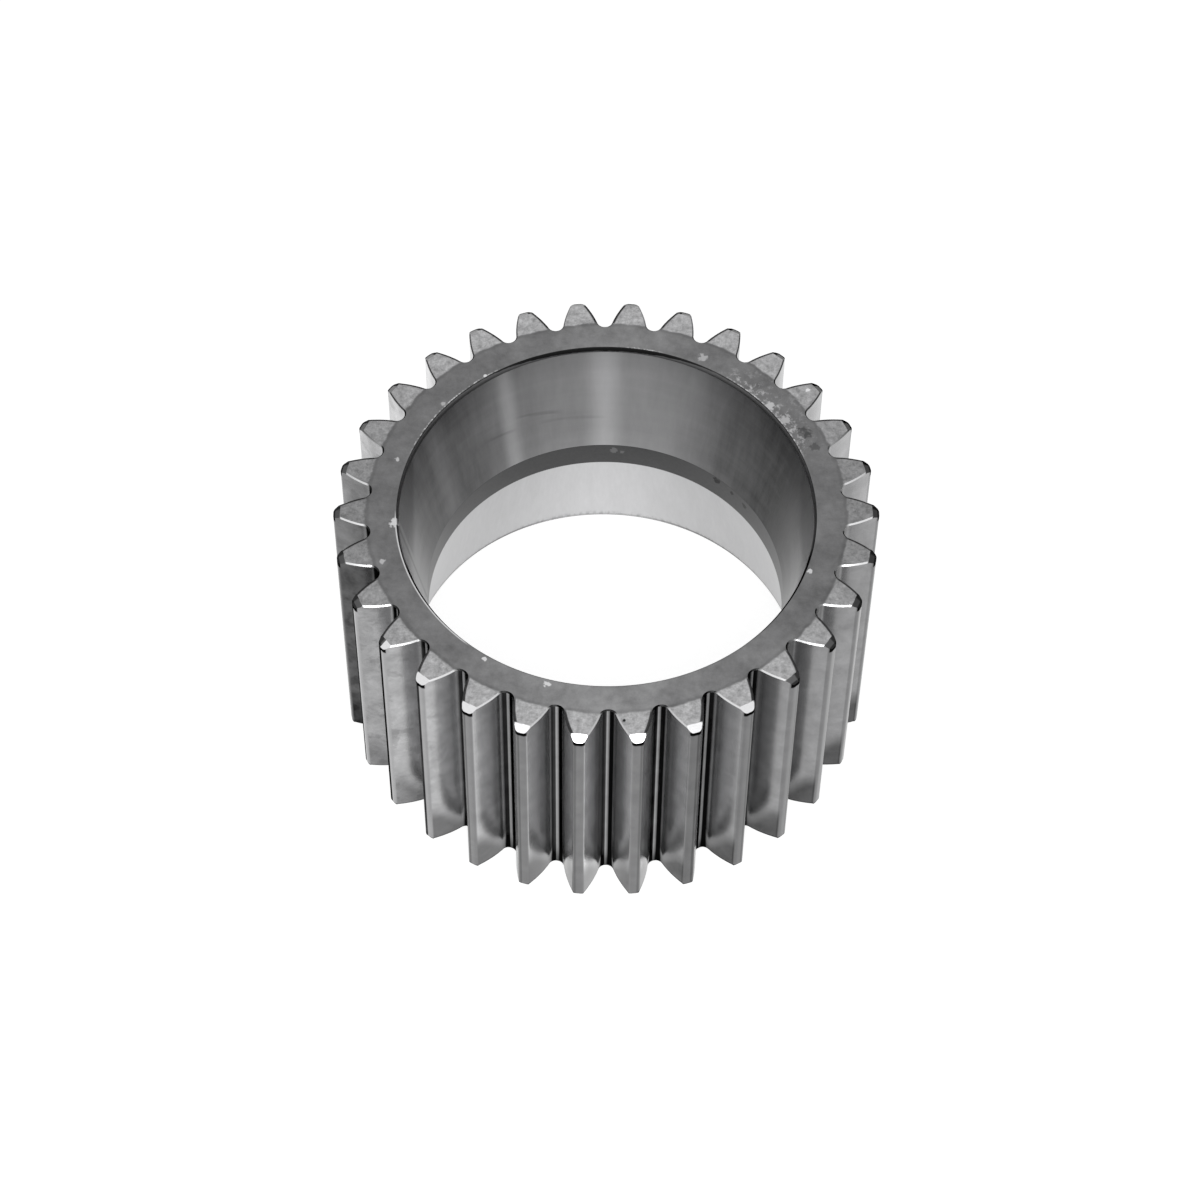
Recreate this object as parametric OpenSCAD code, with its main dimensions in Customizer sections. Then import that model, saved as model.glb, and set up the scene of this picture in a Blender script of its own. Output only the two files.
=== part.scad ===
// Planet gear: a wide spur gear whose bore narrows from both end faces to a plain land in the middle.
// The two tapered halves of the bore are raceways for tapered rollers, ground into the gear itself.
// Millimetres, +Z along the gear axis, origin in the middle of the bottom end face.

/* [Teeth] */
// Number of teeth around the gear
teeth = 30; // [28:1:60]
// Module, which is the pitch diameter over the number of teeth
tooth_module = 3.5; // [3.25:0.25:6]
// Pressure angle of the involute flanks, in degrees
pressure_angle = 25; // [18:0.5:26]
// Height of a tooth above the pitch circle, in modules
addendum = 1; // [0.8:0.05:1.1]
// Depth of a tooth space below the pitch circle, in modules
dedendum = 1.08; // [1:0.01:1.25]
// Radius of the fillet between a flank and the root circle, at most a full round between two flanks
root_fillet_r = 1.6; // [0.8:0.1:2]
// Width taken off both long edges of each tooth tip
tip_break = 0.35; // [0.1:0.05:0.6]

/* [Gear body] */
// Width of the gear from end face to end face
face_w = 60; // [30:1:100]
// Radial depth of the chamfer that crosses the tooth tips at the upper end
tip_chamfer_r = 1.5; // [0.5:0.1:3]
// Axial depth of the same chamfer
tip_chamfer_h = 1.1; // [0.5:0.1:3]
// Width broken off the tips at the lower end, the same both ways
lower_break = 0.3; // [0.1:0.1:2]

/* [Bore] */
// Diameter of each tapered raceway at its wide end, next to the mouth
raceway_d = 85; // [78:0.5:90]
// Diameter of the plain land between the raceways
land_d = 75; // [60:0.5:82]
// Width of the plain land
land_w = 6; // [3:0.5:16]
// Radial depth of the steep lead-in that opens each mouth of the bore
mouth_lead_r = 0.5; // [0.2:0.1:2]
// Axial depth of the same lead-in
mouth_lead_h = 1; // [0.3:0.1:2.5]

/* [Hidden] */
gear_colour = [0.5, 0.5, 0.51];
// Straight steps that each involute flank and each root fillet is drawn with
flank_steps = 8;
fillet_steps = 5;
// Facets of the turned shapes where they are drawn as a mesh
round_steps = 180;
// How far a cutting shape runs past the face that it cuts
past = 1;
// Degrees in a radian
rad = 180 / PI;
pitch_r = teeth * tooth_module / 2;
tip_r = pitch_r + addendum * tooth_module;
root_r = pitch_r - dedendum * tooth_module;
base_r = pitch_r * cos(pressure_angle);
// Angle between two neighbouring teeth
tooth_step = 360 / teeth;
// Half the angle that a tooth spans where its flanks leave the base circle
half_base = tooth_step / 4 + involute_angle(pressure_angle);
// Share of the full round that a fillet may take, which leaves a little of the root circle
round_share = 0.98;
fillet_r = min(root_fillet_r, round_share * full_round(root_fillet_r, 12));
// Roll angles, in degrees, at which a flank leaves its fillet and reaches the broken edge of the tip
fillet_reach = reach_of(fillet_r);
roll_low = (fillet_reach - fillet_r) / base_r * rad;
roll_high = tan(acos(base_r / (tip_r - tip_break))) * rad;
// Place of the fillet's centre, as an angle from the middle of the tooth
fillet_centre_a = roll_low - atan(fillet_reach / base_r) - half_base;
// Half the angle that the flat of the tip spans
half_tip = half_base - involute_angle(acos(base_r / tip_r)) - tip_break / tip_r * rad;

// The involute function of an angle, in degrees
function involute_angle(a) = tan(a) * rad - a;
// Distance from the base circle, along its tangent, to the centre of a fillet of radius r
function reach_of(r) = sqrt(pow(root_r + r, 2) - pow(base_r, 2));
// Radius of the one arc that would touch both flanks of a tooth space and the root circle, by trial
function full_round(r, tries) =
    tries == 0 ? r
    : let (t = reach_of(r))
        full_round(t - base_r / rad * (atan(t / base_r) + half_base - tooth_step / 2), tries - 1);
function polar(r, a) = r * [cos(a), sin(a)];
// A point of the right-hand flank, which winds off the base circle
function flank_point(roll) =
    let (a = roll - half_base)
    base_r * [cos(a) + roll / rad * sin(a), sin(a) - roll / rad * cos(a)];
// A point of the right-hand root fillet, from the root circle at 0 to the flank at 1
function fillet_point(part) =
    let (at_root = fillet_centre_a + 180, at_flank = roll_low - half_base + 90)
    polar(root_r + fillet_r, fillet_centre_a)
    + polar(fillet_r, at_root + (at_flank - at_root) * part);
// Right-hand half of one tooth, from the middle of the tooth space up to the edge of the tip
half_tooth = concat(
    [polar(root_r, -tooth_step / 2)],
    [for (i = [0 : fillet_steps - 1]) fillet_point(i / fillet_steps)],
    [for (i = [0 : flank_steps]) flank_point(roll_low + (roll_high - roll_low) * i / flank_steps)],
    [polar(tip_r, -half_tip)]
);
// The mirrored half, without the point in the tooth space, which belongs to the next tooth
other_half = [for (i = [len(half_tooth) - 1 : -1 : 1]) [half_tooth[i].x, -half_tooth[i].y]];
whole_tooth = concat(half_tooth, [polar(tip_r, 0)], other_half);

function turned(p, a) = [p.x * cos(a) - p.y * sin(a), p.x * sin(a) + p.y * cos(a)];

module tooth_outline() {
    polygon([for (k = [0 : teeth - 1]) for (p = whole_tooth) turned(p, k * tooth_step)]);
}

// Solid of revolution that leaves the chamfer on the upper tips and the broken edge on the lower ones
module turned_blank() {
    upper_h = tip_chamfer_h * (tip_chamfer_r + past) / tip_chamfer_r;
    rotate_extrude($fn = round_steps)
        polygon([
            [0, 0],
            [tip_r - lower_break, 0],
            [tip_r + past, lower_break + past],
            [tip_r + past, face_w - upper_h],
            [tip_r - tip_chamfer_r, face_w],
            [0, face_w]
        ]);
}

// The bore: a lead-in and a tapered raceway at each end, and the land between them
module raceway_bore() {
    over_r = raceway_d / 2 + mouth_lead_r * (mouth_lead_h + past) / mouth_lead_h;
    land_low = (face_w - land_w) / 2;
    rotate_extrude($fn = round_steps)
        polygon([
            [0, -past],
            [over_r, -past],
            [raceway_d / 2, mouth_lead_h],
            [land_d / 2, land_low],
            [land_d / 2, face_w - land_low],
            [raceway_d / 2, face_w - mouth_lead_h],
            [over_r, face_w + past],
            [0, face_w + past]
        ]);
}

module planet_gear() {
    color(gear_colour)
        difference() {
            intersection() {
                linear_extrude(height = face_w) tooth_outline();
                turned_blank();
            }
            raceway_bore();
        }
}

planet_gear();
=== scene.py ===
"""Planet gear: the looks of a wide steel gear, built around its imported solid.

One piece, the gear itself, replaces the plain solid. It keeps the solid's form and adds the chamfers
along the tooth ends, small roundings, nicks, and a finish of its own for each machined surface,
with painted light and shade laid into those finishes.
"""

import logging
import math
from collections.abc import Iterable
from dataclasses import astuple, dataclass, field
from enum import IntEnum
from functools import cached_property, reduce

import bmesh
import bpy
from mathutils import Matrix, Vector


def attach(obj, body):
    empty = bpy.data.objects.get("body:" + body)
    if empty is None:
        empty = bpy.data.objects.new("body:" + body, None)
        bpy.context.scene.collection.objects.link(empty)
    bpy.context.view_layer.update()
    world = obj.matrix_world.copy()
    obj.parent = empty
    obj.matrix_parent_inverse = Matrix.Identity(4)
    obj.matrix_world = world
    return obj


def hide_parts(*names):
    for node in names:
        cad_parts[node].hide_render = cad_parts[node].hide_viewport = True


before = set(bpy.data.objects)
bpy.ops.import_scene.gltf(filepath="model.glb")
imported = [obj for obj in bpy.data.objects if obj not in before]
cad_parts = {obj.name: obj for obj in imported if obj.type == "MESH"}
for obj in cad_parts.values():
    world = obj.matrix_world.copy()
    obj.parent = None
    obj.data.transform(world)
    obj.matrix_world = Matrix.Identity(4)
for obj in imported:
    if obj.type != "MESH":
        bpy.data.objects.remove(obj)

MM = 0.001
UP = Vector((0.0, 0.0, 1.0))
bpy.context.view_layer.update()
log = logging.getLogger("planet_gear")

Socket = bpy.types.NodeSocket
Value = Socket | float
Triple = tuple[float, float, float]


class Surface(IntEnum):
    """The machined surfaces of the gear, in the order of its material slots."""

    END_FACE = 0
    FLANK = 1
    CHAMFER = 2
    RACEWAY = 3
    LAND = 4
    LEAD_IN = 5


@dataclass(frozen=True)
class Grain:
    """Size and make-up of a noise: blotches in each millimetre, and how fine and how bent they are."""

    scale: float
    detail: float = 3.0
    rough: float = 0.5
    distortion: float = 0.0


@dataclass(frozen=True)
class Ramp:
    """A smooth change from one number to another, between two places."""

    low: float
    high: float
    at_low: float = 0.0
    at_high: float = 1.0


class Graph:
    """Node graph of a material or the sky, with short calls for the nodes that are used again."""

    steel_tint: Triple = (1.0, 1.0, 1.012)
    edge_colour: Ramp = Ramp(0.0, 0.1)
    metal: Ramp = Ramp(0.0, 0.03)
    quarter_turn: float = 0.25

    def __init__(self, owner: bpy.types.Material | bpy.types.World, output: str = "OutputMaterial") -> None:
        """Empties the graph and gives it an output.

        Args:
            owner: The material or the world.
            output: Kind of the output node.
        """
        self.owner = owner
        owner.use_nodes = True
        owner.node_tree.nodes.clear()
        self.output = self.add(output)

    def link(self, source: Socket, target: Socket) -> None:
        """Joins an output socket to an input socket."""
        self.owner.node_tree.links.new(source, target)

    def finish(self, shader: bpy.types.Node) -> None:
        """Joins a shader to the output."""
        self.link(shader.outputs[0], self.output.inputs["Surface"])

    def feed(self, socket: Socket, value: Value | tuple[float, ...]) -> None:
        """Gives an input a link or a constant.

        Args:
            socket: The input socket.
            value: Another node's output socket, or a plain value.
        """
        if isinstance(value, Socket):
            self.link(value, socket)
        else:
            socket.default_value = value

    def add(self, kind: str, *values: Value | tuple[float, ...], **settings: str) -> bpy.types.Node:
        """Adds a node.

        Args:
            kind: Its kind, without the common prefix.
            *values: Sockets or constants for its first inputs.
            **settings: Its settings.

        Returns:
            The node.
        """
        node = self.owner.node_tree.nodes.new("ShaderNode" + kind)
        for name, setting in settings.items():
            setattr(node, name, setting)
        for socket, value in zip(node.inputs, values):
            self.feed(socket, value)
        return node

    @cached_property
    def at(self) -> Socket:
        """The object coordinates, in millimetres."""
        mapping = self.add("Mapping", self.add("TexCoord").outputs["Object"])
        mapping.inputs["Scale"].default_value = (1 / MM, 1 / MM, 1 / MM)
        return mapping.outputs[0]

    @cached_property
    def xyz(self) -> tuple[Socket, ...]:
        """The place as three numbers: across, along and up."""
        return tuple(self.add("SeparateXYZ", self.at).outputs)

    @property
    def x(self) -> Socket:
        """The place across."""
        return self.xyz[0]

    @property
    def y(self) -> Socket:
        """The place along, away from the photo's camera."""
        return self.xyz[1]

    @property
    def z(self) -> Socket:
        """The height."""
        return self.xyz[2]

    @cached_property
    def radius(self) -> Socket:
        """The distance from the gear's axis, in millimetres."""
        return self.math("SQRT", self.plus(self.times(self.x, self.x), self.times(self.y, self.y)))

    @cached_property
    def azimuth(self) -> Socket:
        """The angle round the gear's axis, in radians."""
        return self.math("ARCTAN2", self.y, self.x)

    @cached_property
    def degrees(self) -> Socket:
        """The angle round the gear's axis, in degrees."""
        return self.times(self.azimuth, math.degrees(1.0))

    def turned(self, azimuth: float) -> Socket:
        """Measures how far a place is turned from an azimuth, in degrees and without a sign."""
        return self.size(self.math("WRAP", self.minus(self.degrees, azimuth), 180.0, -180.0))

    def away(self, place: Triple) -> Socket:
        """Measures the distance from a point, in millimetres."""
        return self.add("VectorMath", self.at, place, operation="DISTANCE").outputs["Value"]

    def join(self, x: Value, y: Value, z: Value) -> Socket:
        """Makes a vector of three numbers."""
        return self.add("CombineXYZ", x, y, z).outputs[0]

    def math(self, operation: str, *values: Value) -> Socket:
        """Adds a Math node."""
        return self.add("Math", *values, operation=operation).outputs[0]

    def times(self, *values: Value) -> Socket:
        """Multiplies numbers."""
        return reduce(lambda first, second: self.math("MULTIPLY", first, second), values)

    def plus(self, first: Value, second: Value) -> Socket:
        """Adds two numbers."""
        return self.math("ADD", first, second)

    def minus(self, first: Value, second: Value) -> Socket:
        """Takes the second number from the first."""
        return self.math("SUBTRACT", first, second)

    def vary(self, base: Value, pattern: Value, amount: Value) -> Socket:
        """Adds an amount of a pattern to a number."""
        return self.math("MULTIPLY_ADD", pattern, amount, base)

    def left(self, cover: Value, depth: Value) -> Socket:
        """Works out what a cover of some depth leaves of 1."""
        return self.minus(1.0, self.times(cover, depth))

    def larger(self, first: Value, second: Value) -> Socket:
        """Takes the larger of two numbers."""
        return self.math("MAXIMUM", first, second)

    def size(self, value: Value) -> Socket:
        """Takes a number without its sign."""
        return self.math("ABSOLUTE", value)

    def noise(self, grain: Grain, vector: Socket | None = None) -> Socket:
        """Adds a Noise texture.

        Args:
            grain: Its size and make-up.
            vector: Where it is read, in millimetres, or None for the place itself.

        Returns:
            The value, about 0.5 on average.
        """
        node = self.add("TexNoise", self.at if vector is None else vector)
        for name, value in zip(("Scale", "Detail", "Roughness", "Distortion"), astuple(grain)):
            node.inputs[name].default_value = value
        return node.outputs["Fac"]

    def ripple(self, grain: Grain, vector: Socket | None = None) -> Socket:
        """Adds a Noise texture that is about 0 on average."""
        return self.minus(self.noise(grain, vector), 0.5)

    def span(
        self, value: Value, low: float, high: float, to_low: float = 0.0, to_high: float = 1.0
    ) -> Socket:
        """Maps a number smoothly from low and high to two results, and holds it there."""
        limits = (low, high, to_low, to_high)
        return self.add("MapRange", value, *limits, interpolation_type="SMOOTHSTEP").outputs["Result"]

    def ramp(self, value: Value, ramp: Ramp) -> Socket:
        """Maps a number along a ramp and holds it at the ends."""
        return self.span(value, *astuple(ramp))

    def blend(self, amount: Value, first: Value, second: Value) -> Socket:
        """Mixes two numbers.

        Args:
            amount: 0 for the first, 1 for the second.
            first: One number.
            second: The other number.

        Returns:
            The mixed number.
        """
        node = self.add("Mix", amount, data_type="FLOAT")
        for name, value in (("A", first), ("B", second)):
            self.feed(next(s for s in node.inputs if s.name == name and s.enabled), value)
        return next(s for s in node.outputs if s.enabled)

    def grey(self, tone: Socket, tint: Triple = (1.0, 1.0, 1.0)) -> Socket:
        """Turns a number into a colour close to grey."""
        return self.add("CombineColor", *(self.times(tone, share) for share in tint)).outputs["Color"]

    def bump(self, height: Socket, distance: float, strength: float) -> Socket:
        """Adds a Bump node.

        Args:
            height: Height as a number.
            distance: Depth of the relief, in millimetres.
            strength: Share of the relief that shows.

        Returns:
            The normal.
        """
        node = self.add("Bump")
        for name, value in (("Strength", strength), ("Distance", distance * MM), ("Height", height)):
            self.feed(node.inputs[name], value)
        return node.outputs["Normal"]

    def steel(
        self, tone: Socket, rough: Value, normal: Socket | None = None, brushed: float = 0.0,
        dark_edges: bool = False
    ) -> bpy.types.Material:
        """Finishes the graph with a steel shader.

        Args:
            tone: Brightness of the metal.
            rough: Roughness.
            normal: The bumped normal, or None.
            brushed: Anisotropy, with grooves that run round the gear's axis.
            dark_edges: Keeps the dark tones dark at glancing angles too.

        Returns:
            The material.
        """
        shader = self.add("BsdfPrincipled")
        given = {
            "Base Color": self.grey(tone, self.steel_tint),
            "Metallic": 1.0,
            "Roughness": rough,
        }
        if dark_edges:
            given["Specular Tint"] = self.grey(self.ramp(tone, self.edge_colour))
            given["Metallic"] = self.ramp(tone, self.metal)
            given["Specular IOR Level"] = 0.0
        if normal is not None:
            given["Normal"] = normal
        if brushed:
            given["Anisotropic"] = brushed
            given["Anisotropic Rotation"] = self.quarter_turn
            given["Tangent"] = self.add("Tangent", direction_type="RADIAL", axis="Z").outputs["Tangent"]
        for name, value in given.items():
            self.feed(shader.inputs[name], value)
        self.finish(shader)
        return self.owner


@dataclass
class ToothForm:
    """Involute tooth with a round fillet at its root, in millimetres."""

    teeth: int = 30
    module: float = 3.5
    pressure_deg: float = 25.0
    addendum: float = 1.0
    dedendum: float = 1.08
    fillet_r: float = 1.6
    flank_steps: int = 14
    fillet_steps: int = 7
    fit_reach: float = 2.5
    swap_sides: Ramp = Ramp(-15.0, 15.0, -1.0, 1.0)

    @property
    def pitch_r(self) -> float:
        """Pitch radius."""
        return self.teeth * self.module / 2

    @property
    def tip_r(self) -> float:
        """Tip radius."""
        return self.pitch_r + self.addendum * self.module

    @property
    def root_r(self) -> float:
        """Root radius."""
        return self.pitch_r - self.dedendum * self.module

    @property
    def step(self) -> float:
        """Angle between neighbouring teeth."""
        return 2 * math.pi / self.teeth

    def half(self) -> list[Vector]:
        """Works out the right-hand half of one tooth, pointing along +X.

        Returns:
            Points from the middle of the tooth space to the corner of the tip.
        """
        pressure = math.radians(self.pressure_deg)
        base_r = self.pitch_r * math.cos(pressure)
        half_base = self.step / 4 + math.tan(pressure) - pressure
        centre_r = self.root_r + self.fillet_r
        reach = math.sqrt(centre_r**2 - base_r**2)
        roll_low = (reach - self.fillet_r) / base_r
        roll_high = math.tan(math.acos(base_r / self.tip_r))
        centre_a = roll_low - math.atan(reach / base_r) - half_base
        centre = Vector((centre_r * math.cos(centre_a), centre_r * math.sin(centre_a)))
        at_flank = roll_low - half_base + math.pi / 2
        half_step = self.step / 2
        points = [self.root_r * Vector((math.cos(half_step), -math.sin(half_step)))]
        for i in range(self.fillet_steps):
            a = centre_a + math.pi + (at_flank - centre_a - math.pi) * i / self.fillet_steps
            points.append(centre + self.fillet_r * Vector((math.cos(a), math.sin(a))))
        for i in range(self.flank_steps + 1):
            roll = roll_low + (roll_high - roll_low) * i / self.flank_steps
            a = roll - half_base
            across, along = math.cos(a) + roll * math.sin(a), math.sin(a) - roll * math.cos(a)
            points.append(base_r * Vector((across, along)))
        return points

    def half_angle(self, radius: float) -> float:
        """Works out half the angle that a tooth spans.

        Args:
            radius: Distance from the gear's axis.

        Returns:
            The angle in degrees.
        """
        pressure = math.radians(self.pressure_deg)
        here = math.acos(self.pitch_r * math.cos(pressure) / radius)
        unwound = math.tan(pressure) - pressure - math.tan(here) + here
        return math.degrees(self.step / 4 + unwound)

    def inset(self, g: Graph) -> Socket:
        """Measures how far a place on a tooth's end lies inside its nearer flank, in millimetres.

        Args:
            g: The material's graph.

        Returns:
            The distance, from a parabola through the flank's half angle at three radii.
        """
        reach = self.fit_reach
        inner, middle, outer = (self.half_angle(self.pitch_r + reach * k) for k in (-1, 0, 1))
        slope = (outer - inner) / (2 * reach)
        curve = (outer + inner - 2 * middle) / (2 * reach**2)
        off = g.minus(g.radius, self.pitch_r)
        half = g.vary(middle, off, g.vary(slope, off, curve))
        half_pitch = math.degrees(self.step) / 2
        turned = g.size(g.math("WRAP", g.degrees, half_pitch, -half_pitch))
        return g.times(g.minus(half, turned), math.radians(self.pitch_r))

    def phase(self, g: Graph) -> Socket:
        """Measures the azimuth so that it makes a whole turn from tooth to tooth, in radians."""
        return g.times(g.azimuth, float(self.teeth))

    def far_side(self, g: Graph) -> Socket:
        """Tells the two sides of each tooth apart: above zero on the side that faces away from -Y."""
        return g.times(g.math("SINE", self.phase(g)), g.ramp(g.x, self.swap_sides))


@dataclass(frozen=True)
class Mark:
    """A stain, nick or bright spot on the gear, by its place on the axis and round it, in millimetres."""

    azimuth: float
    radius: float
    height: float
    size: float
    tone: float
    strength: float = 1.0

    @property
    def place(self) -> Triple:
        """Its centre as x, y and z."""
        a = math.radians(self.azimuth)
        return (self.radius * math.cos(a), self.radius * math.sin(a), self.height)


@dataclass(frozen=True)
class MarkEdge:
    """The ragged edge that all marks share."""

    grain: Grain = Grain(1.3)
    ragged: float = 2.2
    core: float = 0.6

    def lay(self, g: Graph, tone: Socket, marks: tuple[Mark, ...]) -> Socket:
        """Lays marks over a tone.

        Args:
            g: The material's graph.
            tone: The tone without marks.
            marks: The marks.

        Returns:
            The tone with its marks.
        """
        ripple = g.ripple(self.grain)
        for mark in marks:
            away = g.away(mark.place)
            reach = g.vary(away, ripple, mark.size * self.ragged)
            cover = g.span(reach, mark.size, mark.size * self.core, 0.0, mark.strength)
            tone = g.blend(cover, tone, mark.tone)
        return tone


@dataclass(frozen=True)
class Stretch:
    """A stretch round the gear's axis, and the share of the tone that is left in it."""

    azimuth: float
    half_width: float
    share: float
    soft: float = 2.0

    def apply(self, g: Graph, tone: Value) -> Socket:
        """Changes a tone within the stretch.

        Args:
            g: The material's graph.
            tone: The tone.

        Returns:
            The changed tone.
        """
        turned = g.turned(self.azimuth)
        return g.times(tone, g.span(turned, self.half_width, self.half_width + self.soft, self.share, 1.0))


@dataclass(frozen=True)
class EndFaceFinish:
    """Turned hub ring with lighter, blotchy tooth ends outside it, and painted light and shade over both.

    Lengths are in millimetres, and a share is what a tone is multiplied by.
    """

    tooth: ToothForm
    ring_r: float
    marks: tuple[Mark, ...] = ()
    ring_tone: float = 0.235
    ring_cloud: float = 0.26
    ring_grain: float = 0.15
    # Painted light on the ring: lighter in front and darker at the sides.
    ring_front: Ramp = Ramp(-46.0, -20.0, 1.2, 1.0)
    ring_sides: Ramp = Ramp(0.0, 34.0, 1.14, 0.86)
    tooth_tone: float = 0.50
    tooth_grain: float = 0.7
    tooth_grit: float = 0.6
    tooth_fine: float = 0.2
    # Painted reflection on the tooth ends: lighter on the teeth in front and at the back, darker on those at
    # the sides.
    tooth_facing: Ramp = Ramp(0.0, 0.95, 0.58, 1.0)
    fine_share: float = 0.05
    cloud: Grain = Grain(0.14, 4.0, 0.6)
    grain: Grain = Grain(0.55, 5.0, 0.7)
    grit: Grain = Grain(1.3, 4.0, 0.7)
    fine: Grain = Grain(3.0, 3.0, 0.6)
    wander: Grain = Grain(0.35)
    wander_reach: float = 1.2
    step_soft: float = 0.25
    # Painted shade line along the edge of the ring.
    step_inwards: float = 0.3
    step_line: Ramp = Ramp(0.1, 0.7, 0.85, 1.0)
    scuff: Mark = Mark(38.0, 45.0, 60.0, 16.0, 0.55)
    scuff_core: float = 0.5
    scuff_grain: Grain = Grain(0.6, 5.0, 0.75)
    scuff_specks: Ramp = Ramp(0.5, 0.63)
    scuff_outwards: Ramp = Ramp(44.5, 47.0, 1.0, 0.25)
    # Painted highlight on stretches of the rim at the mouth of the bore, broken into specks.
    rim: Ramp = Ramp(43.25, 43.45, 1.0, 0.0)
    rim_tone: float = 0.75
    rim_specks: Ramp = Ramp(-0.04, 0.10)
    rim_front: Ramp = Ramp(-8.0, 4.0, 0.3, 0.0)
    bright_rims: tuple[Stretch, ...] = (
        Stretch(-155.0, 22.0, 0.0, 4.0),
        Stretch(140.0, 14.0, 0.0, 8.0),
        Stretch(36.0, 12.0, 0.0, 8.0),
        Stretch(79.0, 3.0, 0.0, 3.0),
    )
    # Painted shade line along the far side of each tooth's end.
    edge_side: Ramp = Ramp(0.0, 0.2)
    edge_inset: Ramp = Ramp(0.5, 0.75, 1.0, 0.0)
    edge_from_ring: float = 0.6
    edge_depth: float = 0.88
    ring_relief: float = 0.2
    tooth_relief: float = 0.8
    ring_rough: float = 0.38
    tooth_rough: float = 0.45
    relief_mm: float = 0.03
    relief_strength: float = 0.5

    def material(self) -> bpy.types.Material:
        """Builds the finish.

        Returns:
            The material.
        """
        g = Graph(bpy.data.materials.new("end_face_steel"))
        wandered = g.vary(g.radius, g.ripple(self.wander), self.wander_reach)
        outside = g.span(wandered, self.ring_r - self.step_soft, self.ring_r + self.step_soft)
        grain, grit, fine = (g.ripple(pattern) for pattern in (self.grain, self.grit, self.fine))
        ring = self._ring(g, grain)
        tooth = g.vary(self.tooth_tone, grain, self.tooth_grain)
        tooth = g.vary(tooth, grit, self.tooth_grit)
        tooth = g.vary(tooth, fine, self.tooth_fine)
        # Painted reflection: tooth ends lighter in front and at the back.
        across = g.math("DIVIDE", g.size(g.y), g.radius)
        tooth = g.times(tooth, g.ramp(across, self.tooth_facing))
        tone = g.vary(g.blend(outside, ring, tooth), fine, self.fine_share)
        # Painted shade line along the edge of the ring.
        at_step = g.size(g.minus(wandered, self.ring_r - self.step_inwards))
        tone = g.times(tone, g.ramp(at_step, self.step_line))
        # Painted highlight on the rim of the bore.
        tone = g.blend(self._painted_rim_highlight(g, grit), tone, self.rim_tone)
        # Painted shade line along the far side of each tooth's end.
        tone = g.times(tone, g.left(self._edge(g), self.edge_depth))
        tone = MarkEdge().lay(g, tone, self.marks)
        height = g.times(grain, g.vary(self.ring_relief, outside, self.tooth_relief))
        rough = g.blend(outside, self.ring_rough, self.tooth_rough)
        return g.steel(tone, rough, g.bump(height, self.relief_mm, self.relief_strength))

    def _ring(self, g: Graph, grain: Socket) -> Socket:
        """Gives the hub ring its tone, with painted light that makes it lighter in front and darker at the
        sides, and a scuffed patch at the back on the right.

        Args:
            g: The material's graph.
            grain: The middle-sized blotches.

        Returns:
            The tone.
        """
        ring = g.vary(self.ring_tone, g.ripple(self.cloud), self.ring_cloud)
        ring = g.vary(ring, grain, self.ring_grain)
        # Painted light: lighter in front, darker at the sides.
        ring = g.times(ring, g.ramp(g.y, self.ring_front), g.ramp(g.size(g.x), self.ring_sides))
        reach = g.span(g.away(self.scuff.place), self.scuff.size, self.scuff.size * self.scuff_core)
        specks = g.ramp(g.noise(self.scuff_grain), self.scuff_specks)
        specks = g.times(specks, reach, g.ramp(g.radius, self.scuff_outwards))
        return g.blend(specks, ring, self.scuff.tone)

    def _painted_rim_highlight(self, g: Graph, grit: Socket) -> Socket:
        """Finds the painted highlight: the bright stretches of the rim at the mouth of the bore.

        Args:
            g: The material's graph.
            grit: The small blotches, which break the rim up.

        Returns:
            How much of the bright tone shows.
        """
        plain = 1.0
        for rim in self.bright_rims:
            plain = rim.apply(g, plain)
        broken = g.ramp(g.plus(grit, g.ramp(g.y, self.rim_front)), self.rim_specks)
        return g.times(g.minus(1.0, plain), broken, g.ramp(g.radius, self.rim))

    def _edge(self, g: Graph) -> Socket:
        """Finds the painted shade line along the far side of each tooth's end.

        Args:
            g: The material's graph.

        Returns:
            1 on the line and 0 away from it.
        """
        far = g.ramp(self.tooth.far_side(g), self.edge_side)
        outside = g.span(g.radius, self.ring_r - self.edge_from_ring, self.ring_r + self.edge_from_ring)
        return g.times(far, g.ramp(self.tooth.inset(g), self.edge_inset), outside)


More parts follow.
